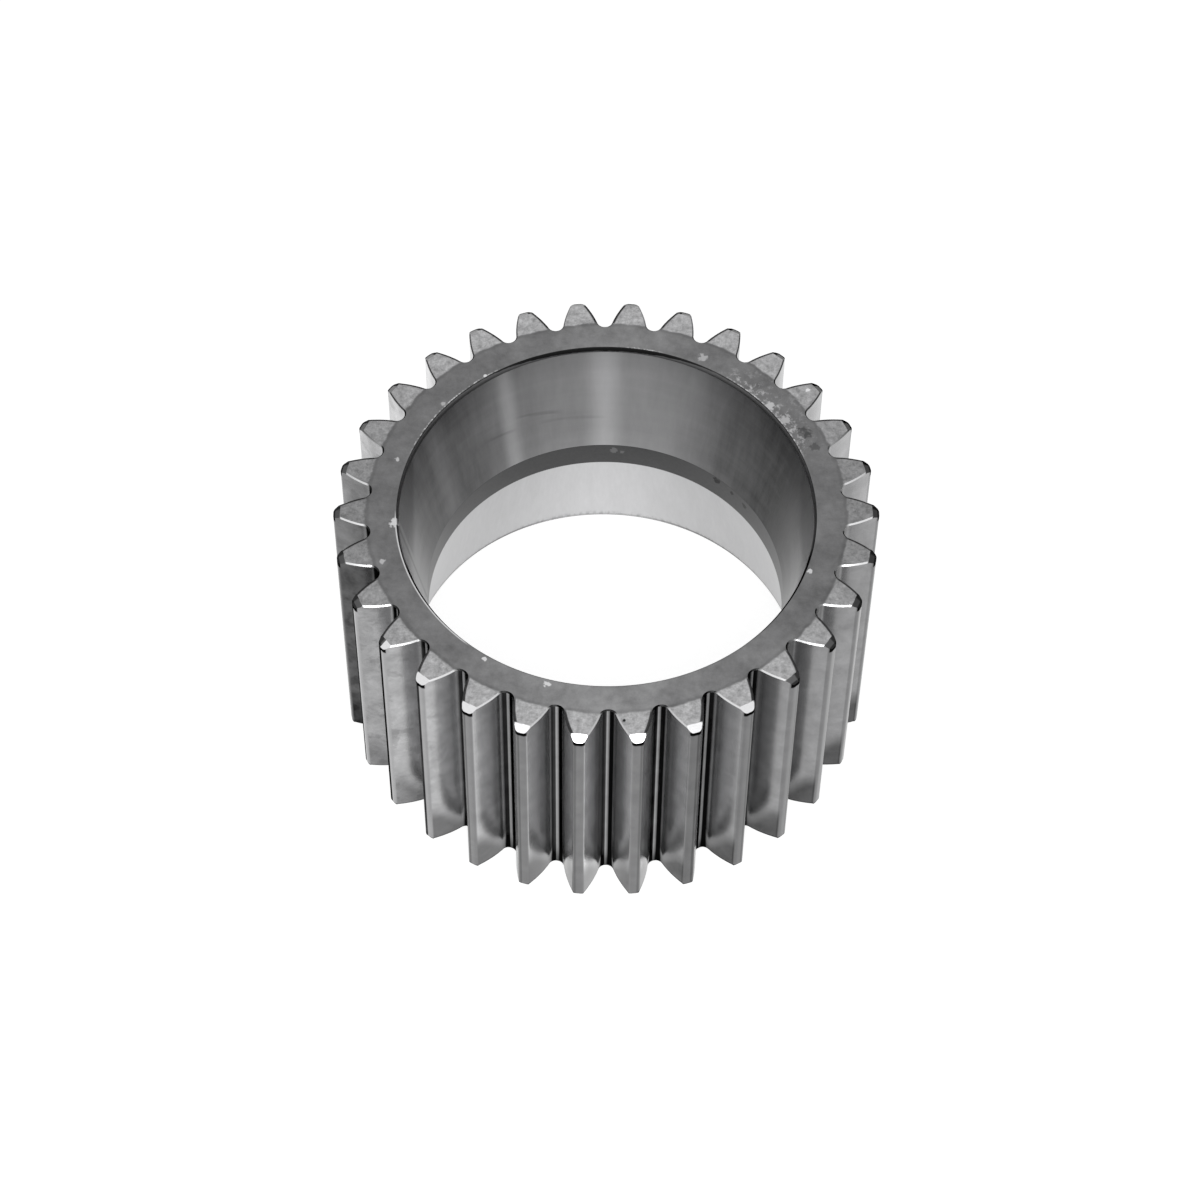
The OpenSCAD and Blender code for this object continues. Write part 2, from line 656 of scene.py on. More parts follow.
@dataclass(frozen=True)
class FlankFinish:
    """Ground tooth flanks with painted light and shade: duller on the tips, with a painted shade line under
    the chamfer, painted shade in the roots and a painted highlight line along each tooth space.

    Depths are measured in millimetres from the tip or root circle, and a share is what a tone is
    multiplied by.
    """

    tooth: ToothForm
    # Lower edge of the painted shade line below the tip chamfer.
    shade_line_low: float
    # Painted shade on stretches of the near sides of the teeth.
    stretches: tuple[Stretch, ...] = ()
    # Painted light and shade: lighter on the left than on the right, with painted shade at the far left end.
    tone: Ramp = Ramp(-12.0, 4.0, 0.43, 0.265)
    left_end: Ramp = Ramp(-52.0, -36.0, 0.72, 1.0)
    drawn_out: float = 0.1
    streak: Grain = Grain(0.6)
    streak_tone: float = 0.05
    smudge: Grain = Grain(0.2, 5.0, 0.65, 0.3)
    smudge_tone: Ramp = Ramp(-50.0, 0.0, 0.5, 0.22)
    fine: Grain = Grain(2.5, 2.0)
    fine_tone: float = 0.04
    # Painted shade at the far left, broken into blotches.
    patch: Grain = Grain(0.22, 4.0, 0.6)
    patch_edge: Ramp = Ramp(0.55, 0.62)
    patch_reach: Ramp = Ramp(-28.0, -42.0)
    patch_depth: float = 0.2
    # Painted shade towards the roots and the lower ends of the teeth, and at the very bottom edge.
    root_share: Ramp = Ramp(-12.0, 4.0, 0.86, 0.87)
    root_to_tip: float = 1.0
    low_rise: float = -6.0
    low_end: Ramp = Ramp(0.5, 8.0)
    low_left: Ramp = Ramp(-46.0, -38.0, 0.65, 0.3)
    low_rear: Ramp = Ramp(-15.0, 0.0, 0.3, 0.8)
    low_edge: Ramp = Ramp(0.25, 0.6, 0.25, 1.0)
    tip_from: float = 0.5
    tip_to: float = 0.15
    # Painted light on the tips: dull in front, lighter at the left and right ends and at the back.
    tip_tone: Ramp = Ramp(-44.0, -22.0, 0.344, 0.18)
    tip_right: Ramp = Ramp(15.0, 40.0, 1.0, 1.45)
    tip_rear: Ramp = Ramp(0.0, 25.0, 1.0, 1.25)
    tip_smudge: float = 0.12
    # Painted light: lighter towards the back.
    rear: Ramp = Ramp(0.0, 15.0, 1.0, 1.35)
    far_rear: Ramp = Ramp(25.0, 40.0, 1.0, 1.1)
    # Painted light on the right-hand flanks of the foremost teeth.
    front_azimuth: float = -84.0
    front_lift: Ramp = Ramp(22.0, 14.0, 0.0, 1.2)
    front_side: Ramp = Ramp(-0.15, 0.15)
    # Painted highlight line along the middle of each tooth space, and painted shade in the root fillets,
    # less deep at the far right.
    root_highlight_line: Ramp = Ramp(-0.996, -0.968, 0.56, 0.0)
    fillet_from: float = 0.3
    fillet_to: float = 0.8
    fillet_share: Ramp = Ramp(30.0, 42.0, 0.08, 0.5)
    # Painted shade line across each tip, just below the upper chamfer.
    shade_line_start: float = -0.2
    shade_line_end: float = 0.3
    shade_line_tip_to: float = 0.3
    shade_line_depth: float = 0.95
    # Painted light on the far sides of the teeth, painted shade on the far corners of the tips and on the
    # tip roundings on the right.
    far_edge: Ramp = Ramp(0.1, 0.3)
    corner_edge: Ramp = Ramp(0.1, 0.25)
    corner_shift: Ramp = Ramp(-42.0, -32.0, 0.2, 0.0)
    corner_from: float = 0.8
    corner_rear: Ramp = Ramp(12.0, 2.0)
    corner_depth: Ramp = Ramp(-46.0, -20.0, 0.99, 0.45)
    rounding_right: Ramp = Ramp(5.0, 20.0)
    rounding_from: float = 0.75
    rounding_depth: float = 0.3
    hidden_sides: Ramp = Ramp(36.0, 46.0, 1.0, 1.5)
    hidden_rear: Ramp = Ramp(5.0, 25.0, 1.0, 1.25)
    rough: float = 0.24
    rough_smudge: float = 0.12
    relief_mm: float = 0.01
    relief_strength: float = 0.3

    def material(self) -> bpy.types.Material:
        """Builds the finish.

        Returns:
            The material.
        """
        g = Graph(bpy.data.materials.new("flank_steel"))
        streak = g.ripple(self.streak, g.join(g.x, g.y, g.times(g.z, self.drawn_out)))
        smudge = g.ripple(self.smudge)
        # Painted light and shade by place: lighter on the left, darker at the far left end.
        tone = g.times(g.ramp(g.x, self.tone), g.ramp(g.x, self.left_end))
        tone = g.vary(tone, streak, self.streak_tone)
        tone = g.vary(tone, smudge, g.ramp(g.x, self.smudge_tone))
        tone = g.vary(tone, g.ripple(self.fine), self.fine_tone)
        # Painted shade in blotches at the far left and towards the roots and lower ends; painted light on
        # the foremost right-hand flanks.
        patch = g.times(g.ramp(g.noise(self.patch), self.patch_edge), g.ramp(g.x, self.patch_reach))
        tone = g.times(tone, g.left(patch, self.patch_depth), self._along_flank(g), self._front_right(g))
        # The tips take their own tone, with painted light.
        on_tip = g.span(g.radius, self.tooth.tip_r - self.tip_from, self.tooth.tip_r - self.tip_to)
        tone = g.blend(on_tip, tone, self._tip(g, smudge))
        # Painted shade at the very bottom edge, and painted light towards the back.
        for place, ramp in ((g.z, self.low_edge), (g.y, self.rear), (g.y, self.far_rear)):
            tone = g.times(tone, g.ramp(place, ramp))
        # Painted shade in the roots, under the tip chamfer and on the far corners; painted shade and light
        # on the sides.
        tone = g.times(tone, self._root(g), self._painted_shade_line(g), self._corners(g), self._sides(g))
        rough = g.vary(self.rough, smudge, self.rough_smudge)
        return g.steel(tone, rough, g.bump(streak, self.relief_mm, self.relief_strength), dark_edges=True)

    def _along_flank(self, g: Graph) -> Socket:
        """Paints shade on the flanks: darker towards the root and towards their lower ends.

        Args:
            g: The material's graph.

        Returns:
            Share of the tone that is left.
        """
        low, high = self.tooth.root_r + self.root_to_tip, self.tooth.tip_r - self.root_to_tip
        depth = g.span(g.radius, low, high)
        share = g.blend(depth, g.ramp(g.x, self.root_share), 1.0)
        rise = g.vary(g.z, depth, self.low_rise)
        lowest = g.larger(g.ramp(g.x, self.low_left), g.ramp(g.y, self.low_rear))
        return g.times(share, g.blend(g.ramp(rise, self.low_end), lowest, 1.0))

    def _tip(self, g: Graph, smudge: Socket) -> Socket:
        """Gives the tips a tone with painted light: dull in front and lighter on the left and at the back.

        Args:
            g: The material's graph.
            smudge: The blotches of the flanks.

        Returns:
            The tone.
        """
        aside = g.times(g.ramp(g.x, self.tip_tone), g.ramp(g.x, self.tip_right))
        return g.vary(g.times(aside, g.ramp(g.y, self.tip_rear)), smudge, self.tip_smudge)

    def _front_right(self, g: Graph) -> Socket:
        """Paints light on the right-hand flanks of the foremost teeth.

        Args:
            g: The material's graph.

        Returns:
            Share that the tone is multiplied by.
        """
        side = g.math("SINE", self.tooth.phase(g))
        front = g.ramp(g.turned(self.front_azimuth), self.front_lift)
        return g.vary(1.0, g.ramp(side, self.front_side), front)

    def _root(self, g: Graph) -> Socket:
        """Paints shade in the root fillets and leaves a thin painted highlight line along the middle of each
        tooth space.

        Args:
            g: The material's graph.

        Returns:
            Share of the tone that is left.
        """
        middle = g.ramp(g.math("COSINE", self.tooth.phase(g)), self.root_highlight_line)
        low = self.tooth.root_r
        outside = g.span(g.radius, low + self.fillet_from, low + self.fillet_to)
        return g.larger(g.blend(outside, g.ramp(g.x, self.fillet_share), 1.0), middle)

    def _painted_shade_line(self, g: Graph) -> Socket:
        """Paints a shade line across each tip, just below the upper chamfer.

        Args:
            g: The material's graph.

        Returns:
            Share of the tone that is left.
        """
        above = g.span(g.z, self.shade_line_low + self.shade_line_start, self.shade_line_low + self.shade_line_end)
        on_tip = g.span(g.radius, self.tooth.tip_r - self.tip_from, self.tooth.tip_r - self.shade_line_tip_to)
        return g.left(g.times(above, on_tip), self.shade_line_depth)

    def _corners(self, g: Graph) -> Socket:
        """Paints shade on the far corners of the tips, and a little on the roundings on the right.

        Args:
            g: The material's graph.

        Returns:
            Share of the tone that is left.
        """
        top = self.tooth.tip_r - self.tip_from
        side = g.plus(self.tooth.far_side(g), g.ramp(g.x, self.corner_shift))
        corner = g.times(g.ramp(side, self.corner_edge), g.ramp(g.y, self.corner_rear))
        corner = g.times(corner, g.span(g.radius, self.tooth.tip_r - self.corner_from, top))
        rounding = g.span(g.radius, self.tooth.tip_r - self.rounding_from, top)
        rounding = g.times(g.ramp(g.x, self.rounding_right), rounding)
        return g.times(g.left(corner, g.ramp(g.x, self.corner_depth)), g.left(rounding, self.rounding_depth))

    def _sides(self, g: Graph) -> Socket:
        """Paints shade on stretches of the near sides of the teeth, and paints light on the far sides.

        Args:
            g: The material's graph.

        Returns:
            Share that the tone is multiplied by.
        """
        far = g.ramp(self.tooth.far_side(g), self.far_edge)
        near = 1.0
        for stretch in self.stretches:
            near = stretch.apply(g, near)
        hidden = g.larger(g.ramp(g.size(g.x), self.hidden_sides), g.ramp(g.y, self.hidden_rear))
        return g.blend(far, near, hidden)


@dataclass(frozen=True)
class ChamferFinish:
    """Chamfers of the teeth: bright with painted highlights on the front tips and the near flank edges, dull
    with painted shade on the others.

    Depths are measured in millimetres from the tip or root circle, and a share is what a tone is
    multiplied by.
    """

    tooth: ToothForm
    tip_from_r: float
    # Painted highlight: a bright base tone, which the shares below dull.
    tone: float = 0.95
    grain: Grain = Grain(1.5)
    grain_tone: float = 0.1
    # Painted highlight on the near flank edges, fading towards the back, with painted shade near the roots.
    edge_side: Ramp = Ramp(-0.05, 0.1, 1.0, 0.08)
    edge_rear: Ramp = Ramp(3.0, 27.0, 1.0, 0.12)
    root_from: float = 0.3
    root_to: float = 1.2
    root_share: Ramp = Ramp(30.0, 42.0, 0.04, 0.3)
    # Painted shade on the tip chamfers away from the front and near the tip rim, and a painted highlight
    # with a wavy edge on the front ones.
    left_to_right: Ramp = Ramp(-10.0, 10.0)
    dull_left: float = 0.15
    dull_right: Ramp = Ramp(-42.0, -20.0, 0.15, 0.08)
    dull_far: Ramp = Ramp(0.2, 0.4, 1.0, 0.3)
    rim_from: float = 0.5
    rim_to: float = 0.35
    rim_share: float = 0.3
    highlight_wobble: float = 8.0
    bright_left: Ramp = Ramp(0.0, 0.15, -28.0, -36.0)
    bright_right: float = -44.5
    bright_edge: Ramp = Ramp(-2.0, 2.0)
    tip_soft: float = 0.15
    # Painted shade at the lower ends of the chamfers.
    lower_end: Ramp = Ramp(2.0, 4.0, 0.15, 1.0)
    rough: float = 0.22

    def material(self) -> bpy.types.Material:
        """Builds the finish.

        Returns:
            The material.
        """
        g = Graph(bpy.data.materials.new("chamfer_steel"))
        grain = g.ripple(self.grain)
        far = self.tooth.far_side(g)
        # Painted highlight on the near flank edges, with painted shade near the roots.
        edge = g.times(g.ramp(far, self.edge_side), g.ramp(g.y, self.edge_rear))
        low = self.tooth.root_r
        outside = g.span(g.radius, low + self.root_from, low + self.root_to)
        edge = g.times(edge, g.blend(outside, g.ramp(g.x, self.root_share), 1.0))
        # Painted highlight on the front tip chamfers, painted shade on the others and at the lower ends.
        tip = self._tip(g, grain)
        on_tip = g.span(g.radius, self.tip_from_r - self.tip_soft, self.tip_from_r + self.tip_soft)
        share = g.times(g.blend(on_tip, edge, tip), g.ramp(g.z, self.lower_end))
        tone = g.times(g.vary(self.tone, grain, self.grain_tone), share)
        return g.steel(tone, self.rough, dark_edges=True)

    def _tip(self, g: Graph, grain: Socket) -> Socket:
        """Keeps the painted highlight on the chamfers of the front tips and paints shade on the others.

        Args:
            g: The material's graph.
            grain: The blotches, which make the change between the two uneven.

        Returns:
            Share of the tone that is left.
        """
        right = g.ramp(g.x, self.left_to_right)
        far = self.tooth.far_side(g)
        dulled = g.blend(right, self.dull_left, g.ramp(g.y, self.dull_right))
        dulled = g.times(dulled, g.ramp(far, self.dull_far))
        rim_from, rim_to = self.tooth.tip_r - self.rim_from, self.tooth.tip_r - self.rim_to
        dulled = g.times(dulled, g.span(g.radius, rim_from, rim_to, 1.0, self.rim_share))
        limit = g.blend(right, g.ramp(far, self.bright_left), self.bright_right)
        behind = g.minus(g.vary(g.y, grain, self.highlight_wobble), limit)
        return g.blend(g.ramp(behind, self.bright_edge), 1.0, dulled)


@dataclass(frozen=True)
class LeadInFinish:
    """Lead-in at a mouth of the bore: dark, with painted light next to the raceway at the back and sides.

    Angles are counted from the middle of the back, and line_below lies below the end face.
    """

    top: float
    notch: Mark
    azimuth: float = 92.0
    # Dark tone, with painted light above a wavy line at the back and sides that gives way to the dark tone
    # towards the front.
    black: float = 0.02
    black_sides: float = 0.05
    lighter: float = 0.22
    grain: Grain = Grain(0.8)
    line_wander: float = 0.3
    line_turn: tuple[float, float] = (10.0, 36.0)
    line_below: tuple[float, float] = (0.8, 0.15)
    line_edge: Ramp = Ramp(-0.08, 0.08)
    sides_turn: tuple[float, float] = (18.0, 40.0)
    front: Ramp = Ramp(95.0, 110.0)
    rough: float = 0.3

    def material(self) -> bpy.types.Material:
        """Builds the finish.

        Returns:
            The material.
        """
        g = Graph(bpy.data.materials.new("lead_in_steel"))
        turned = g.turned(self.azimuth)
        deep, shallow = (self.top - below for below in self.line_below)
        line = g.span(turned, *self.line_turn, deep, shallow)
        line = g.vary(line, g.ripple(self.grain), self.line_wander)
        # Painted light above a wavy line at the back and sides; dark in front.
        upper = g.span(turned, *self.sides_turn, self.black, self.black_sides)
        above = g.blend(g.ramp(g.minus(g.z, line), self.line_edge), self.lighter, upper)
        tone = g.blend(g.ramp(turned, self.front), above, self.black)
        tone = MarkEdge().lay(g, tone, (self.notch,))
        return g.steel(tone, self.rough, dark_edges=True)


@dataclass(frozen=True)
class LandFinish:
    """Plain land between the raceways, left dull."""

    marks: tuple[Mark, ...] = ()
    tone: float = 0.072
    spread: float = 0.02
    grain: Grain = Grain(1.5)
    cloud: Grain = Grain(0.12)
    rough: float = 0.4

    def material(self) -> bpy.types.Material:
        """Builds the finish.

        Returns:
            The material.
        """
        g = Graph(bpy.data.materials.new("land_steel"))
        uneven = g.plus(g.ripple(self.grain), g.ripple(self.cloud))
        tone = g.vary(self.tone, uneven, self.spread)
        return g.steel(MarkEdge().lay(g, tone, self.marks), self.rough)


@dataclass(frozen=True)
class Band:
    """A stretch of a raceway, along its whole width, made lighter by painted reflection or darker by painted
    shade.
    """

    azimuth: float
    half_width: float
    amount: float


@dataclass(frozen=True)
class PaintedShadeZone:
    """Painted shade: a darker stretch of the upper raceway, beyond a plane across the gear."""

    side: float
    from_x: float
    from_y: float
    to_y: float
    share: float
    upper: Ramp = Ramp(31.0, 34.0)
    edge_before: float = 0.5
    edge_after: float = 0.3
    far_soft: float = 2.0

    def share_left(self, g: Graph) -> Socket:
        """Works out the share of the tone that is left.

        Args:
            g: The material's graph.

        Returns:
            The share.
        """
        outwards = g.times(g.x, self.side)
        beyond = g.span(outwards, self.from_x - self.edge_before, self.from_x + self.edge_after)
        near = g.span(g.y, self.from_y - self.edge_before, self.from_y + self.edge_before)
        far = g.span(g.y, self.to_y + self.far_soft, self.to_y - self.far_soft)
        return g.left(g.times(beyond, near, far, g.ramp(g.z, self.upper)), 1.0 - self.share)


@dataclass(frozen=True)
class Scar:
    """A faint wear line that runs round a raceway and slopes a little."""

    azimuth: float
    half_width: float
    height: float
    slope: float
    share: float = 0.82
    bend: float = 2.0
    line_from: float = 0.1
    line_to: float = 0.7
    end_before: float = 3.0
    end_after: float = 2.0

    def share_left(self, g: Graph, wander: Socket) -> Socket:
        """Works out the share of the tone that is left.

        Args:
            g: The material's graph.
            wander: A noise that bends the line.

        Returns:
            The share.
        """
        line = g.vary(self.height, g.minus(g.degrees, self.azimuth), self.slope)
        off = g.size(g.minus(g.z, g.vary(line, wander, self.bend)))
        line_share = g.span(off, self.line_from, self.line_to, self.share, 1.0)
        turned = g.turned(self.azimuth)
        ends = g.span(turned, self.half_width + self.end_before, self.half_width - self.end_after)
        return g.blend(ends, 1.0, line_share)


@dataclass(frozen=True)
class RacewayFinish:
    """Ground tapered raceway, with soft bands of painted reflection and painted shade along the axis, and
    fine lines round it.
    """

    middle: float
    # Painted reflection and painted shade in bands round the axis, and painted shade in zones beyond planes
    # across the gear.
    bands: tuple[Band, ...] = ()
    shade_zones: tuple[PaintedShadeZone, ...] = ()
    scars: tuple[Scar, ...] = ()
    tone: float = 0.17
    darkest: float = 0.03
    # Painted light: lighter towards the upper mouth.
    towards_mouth: Ramp = Ramp(38.0, 56.0, 1.0, 1.45)
    drawn_out: float = 0.03
    streak: Grain = Grain(0.3, 4.0, 0.6)
    streak_tone: float = 0.10
    thin: Grain = Grain(1.6, 2.0, 0.6)
    thin_upper: float = 0.025
    thin_lower: float = 0.06
    smear_scale: Triple = (0.05, 0.05, 0.35)
    smear: Grain = Grain(1.0, 3.0, 0.6)
    smear_tone: float = 0.06
    middle_soft: float = 1.0
    # Painted light: the lower raceway is lighter than the upper one, and lighter still at the back.
    lower_tone: float = 0.47
    lower_streak: float = 0.12
    lower_azimuth: float = 90.0
    lower_back_highlight: Ramp = Ramp(40.0, 0.0, -0.03, 0.09)
    tick: Grain = Grain(1.3, 2.0)
    tick_edge: Ramp = Ramp(0.45, 0.6)
    tick_reach: Ramp = Ramp(3.2, 1.0)
    tick_depth: float = 0.3
    # Painted shade along the lower edge of the lower raceway, deeper at the sides.
    rim: Ramp = Ramp(1.8, 1.3)
    rim_depth: Ramp = Ramp(6.0, 22.0, 0.2, 0.75)
    line: Grain = Grain(5.0, 3.0, 0.7)
    relief_mm: float = 0.003
    relief_strength: float = 0.5
    rough: float = 0.3
    rough_streak: float = 0.08
    brushed: float = 0.6

    def material(self) -> bpy.types.Material:
        """Builds the finish.

        Returns:
            The material.
        """
        g = Graph(bpy.data.materials.new("raceway_steel"))
        drawn = g.join(g.x, g.y, g.times(g.z, self.drawn_out))
        streak, thin = g.ripple(self.streak, drawn), g.ripple(self.thin, drawn)
        level = g.add("VectorMath", g.at, self.smear_scale, operation="MULTIPLY").outputs["Vector"]
        smear = g.ripple(self.smear, level)
        upper = g.vary(self.tone, streak, self.streak_tone)
        upper = g.vary(upper, smear, self.smear_tone)
        # Painted reflection and painted shade in bands, and painted light towards the upper mouth.
        for band in self.bands:
            turned = g.turned(band.azimuth)
            upper = g.plus(upper, g.span(turned, band.half_width, 0.0, 0.0, band.amount))
        upper = g.times(g.larger(upper, self.darkest), g.ramp(g.z, self.towards_mouth))
        # Painted shade in zones of the upper raceway.
        for shade_zone in self.shade_zones:
            upper = g.times(upper, shade_zone.share_left(g))
        for scar in self.scars:
            upper = g.times(upper, scar.share_left(g, smear))
        # The lower raceway takes its own, lighter tone: painted light.
        low = g.span(g.z, self.middle - self.middle_soft, self.middle + self.middle_soft, 1.0, 0.0)
        tone = g.blend(low, upper, self._lower(g, streak))
        tone = g.vary(tone, thin, g.blend(low, self.thin_upper, self.thin_lower))
        relief = g.bump(g.noise(self.line, g.join(0.0, 0.0, g.z)), self.relief_mm, self.relief_strength)
        rough = g.vary(self.rough, streak, self.rough_streak)
        return g.steel(tone, rough, relief, brushed=self.brushed)

    def _lower(self, g: Graph, streak: Socket) -> Socket:
        """Gives the lower raceway its tone, painted lighter and lighter still at the back, with ticks and a
        painted shade rim along its lower edge.

        Args:
            g: The material's graph.
            streak: The streaks along the axis.

        Returns:
            The tone.
        """
        lower = g.vary(self.lower_tone, streak, self.lower_streak)
        # Painted highlight at the back.
        turned = g.turned(self.lower_azimuth)
        lower = g.plus(lower, g.ramp(turned, self.lower_back_highlight))
        ticks = g.ramp(g.noise(self.tick, g.join(g.x, g.y, 0.0)), self.tick_edge)
        lower = g.times(lower, g.left(g.times(g.ramp(g.z, self.tick_reach), ticks), self.tick_depth))
        # Painted shade along the lower edge, deeper at the sides.
        return g.times(lower, g.left(g.ramp(g.z, self.rim), g.ramp(g.size(g.x), self.rim_depth)))


@dataclass
class PlanetGear:
    """The gear: one tooth modelled as a sector and repeated round the axis, with the bore revolved.

    Lengths in millimetres. Points closer than weld or near count as one, and a tilt is how far the
    normal of a face points up.
    """

    tooth: ToothForm = field(default_factory=ToothForm)
    face_w: float = 60.0
    tip_chamfer_r: float = 1.5
    tip_chamfer_h: float = 1.1
    lower_break: float = 0.3
    tip_round: float = 0.5
    end_chamfer: float = 0.28
    lower_end_chamfer: float = 0.2
    raceway_r: float = 42.5
    land_r: float = 37.5
    land_w: float = 6.0
    lead_r: float = 0.5
    lead_h: float = 1.0
    lip: float = 0.5
    bore_round: float = 0.1
    arc_steps: int = 12
    smooth_limit: float = math.radians(32)
    tip_round_steps: int = 4
    bore_round_steps: int = 2
    weld: float = 0.002
    near: float = 1e-4
    tip_near: float = 1e-3
    below_root: float = 0.5
    upright_tilt: float = 0.05
    flank_tilt: float = 0.02
    level_tilt: float = 0.99
    land_margin: float = 0.1
    ring_step: float = 0.7
    # Height of the painted shade line below the tip chamfer.
    shade_line_w: float = 1.1

    @property
    def lip_r(self) -> float:
        """Radius at which the revolved bore takes over from the tooth sectors, on the end faces."""
        return self.raceway_r + self.lead_r + self.lip

    def build(self) -> bpy.types.Object:
        """Builds the gear's mesh.

        Returns:
            The finished object.
        """
        bm = bmesh.new()
        self._sector(bm)
        self._repeat(bm)
        self._bore(bm)
        bmesh.ops.remove_doubles(bm, verts=bm.verts[:], dist=self.weld)
        bmesh.ops.recalc_face_normals(bm, faces=bm.faces[:])
        self._set_surfaces(bm)
        for face in bm.faces:
            face.smooth = True
        for edge in bm.edges:
            edge.smooth = edge.calc_face_angle(0.0) < self.smooth_limit
        open_edges = sum(not e.is_manifold for e in bm.edges)
        bmesh.ops.scale(bm, vec=(MM, MM, MM), verts=bm.verts[:])
        mesh = bpy.data.meshes.new("planet_gear_finished")
        bm.to_mesh(mesh)
        bm.free()
        gear = bpy.data.objects.new("planet_gear_finished", mesh)
        bpy.context.scene.collection.objects.link(gear)
        log.info("gear: %d faces, %d open edges", len(mesh.polygons), open_edges)
        return gear

    def _sector(self, bm: bmesh.types.BMesh) -> None:
        """Models one tooth with its share of the hub, from an outline that is extruded and cut.

        Args:
            bm: The empty bmesh that takes the sector.
        """
        half = self.tooth.half()
        other = [Vector((p.x, -p.y)) for p in reversed(half)]
        inner = []
        for i in range(self.arc_steps + 1):
            a = self.tooth.step * (0.5 - i / self.arc_steps)
            inner.append(Vector((self.lip_r * math.cos(a), self.lip_r * math.sin(a))))
        ring = [bm.verts.new((p.x, p.y, 0.0)) for p in half + other + inner]
        floor = bm.faces.new(ring)
        raised = bmesh.ops.extrude_face_region(bm, geom=[floor])
        top = [v for v in raised["geom"] if isinstance(v, bmesh.types.BMVert)]
        bmesh.ops.translate(bm, verts=top, vec=(0.0, 0.0, self.face_w))
        bmesh.ops.recalc_face_normals(bm, faces=bm.faces[:])
        corners = [e for e in bm.edges if self._is_tip_corner(e)]
        self._bevel(bm, corners, self.tip_round, self.tip_round_steps)
        self._cut_tip(bm, self.face_w, self.tip_chamfer_r, self.tip_chamfer_h)
        self._cut_tip(bm, 0.0, self.lower_break, self.lower_break)
        self._bevel(bm, self._end_edges(bm, self.face_w), self.end_chamfer, 1)
        self._bevel(bm, self._end_edges(bm, 0.0), self.lower_end_chamfer, 1)
        hidden = [f for f in bm.faces if self._is_hidden(f)]
        bmesh.ops.delete(bm, geom=hidden, context="FACES")

    @staticmethod
    def _bevel(bm: bmesh.types.BMesh, edges: list[bmesh.types.BMEdge], width: float, segments: int) -> None:
        """Bevels edges.

        Args:
            bm: The bmesh.
            edges: The edges.
            width: Width taken off each side.
            segments: Number of faces across the bevel.
        """
        bmesh.ops.bevel(
            bm, geom=edges, offset=width, offset_type="OFFSET", segments=segments, profile=0.5,
            affect="EDGES", clamp_overlap=False, material=-1
        )

    def _is_tip_corner(self, edge: bmesh.types.BMEdge) -> bool:
        """Tells whether an edge is one of the two long edges of the tip.

        Args:
            edge: An edge of the sector.

        Returns:
            Whether it is.
        """
        a, b = (v.co for v in edge.verts)
        upright = abs(a.z - b.z) > self.face_w / 2
        return upright and abs(a.xy.length - self.tooth.tip_r) < self.tip_near

    def _cut_tip(self, bm: bmesh.types.BMesh, end: float, depth_r: float, depth_h: float) -> None:
        """Cuts a chamfer across the tip at one end and closes the cut.

        Args:
            bm: The bmesh.
            end: Height of the end face.
            depth_r: Radial depth of the chamfer.
            depth_h: Axial depth of the chamfer.
        """
        outwards = 1.0 if end > 0 else -1.0
        normal = Vector((depth_h, 0.0, depth_r * outwards)).normalized()
        start = Vector((self.tooth.tip_r - depth_r, 0.0, end))
        everything = bm.verts[:] + bm.edges[:] + bm.faces[:]
        cut = bmesh.ops.bisect_plane(
            bm, geom=everything, plane_co=start, plane_no=normal, clear_outer=True
        )
        rim = [g for g in cut["geom_cut"] if isinstance(g, bmesh.types.BMEdge)]
        bmesh.ops.holes_fill(bm, edges=rim, sides=0)
        bmesh.ops.recalc_face_normals(bm, faces=bm.faces[:])

    def _end_edges(self, bm: bmesh.types.BMesh, end: float) -> list[bmesh.types.BMEdge]:
        """Finds the edges where the flanks and the root meet an end face.

        Args:
            bm: The bmesh.
            end: Height of the end face.

        Returns:
            The edges.
        """
        outer = self.tooth.root_r - self.below_root
        found = []
        for edge in bm.edges:
            level = all(abs(v.co.z - end) < self.near for v in edge.verts)
            outside = all(v.co.xy.length > outer for v in edge.verts)
            upright = any(abs(f.normal.z) < self.upright_tilt for f in edge.link_faces)
            if level and outside and upright and not self._on_cut(edge.verts):
                found.append(edge)
        return found

    def _on_cut(self, verts: Iterable[bmesh.types.BMVert]) -> bool:
        """Tells whether all of some vertices lie on one of the sector's two cut planes.

        Args:
            verts: The vertices.

        Returns:
            Whether they do.
        """
        half = self.tooth.step / 2
        for side in (-1.0, 1.0):
            normal = Vector((-math.sin(half * side), math.cos(half * side), 0.0))
            if all(abs(normal.dot(v.co)) < self.near for v in verts):
                return True
        return False

    def _is_hidden(self, face: bmesh.types.BMFace) -> bool:
        """Tells whether a face is on a cut plane or on the inside arc, where the bore takes over."""
        inside = all(abs(v.co.xy.length - self.lip_r) < self.near for v in face.verts)
        return inside or self._on_cut(face.verts)

    def _repeat(self, bm: bmesh.types.BMesh) -> None:
        """Repeats the sector round the axis.

        Args:
            bm: The bmesh that holds the sector.
        """
        geom = bm.verts[:] + bm.edges[:] + bm.faces[:]
        others = self.tooth.teeth - 1
        bmesh.ops.spin(
            bm, geom=geom, cent=(0, 0, 0), axis=UP, angle=self.tooth.step * others, steps=others,
            use_duplicate=True
        )

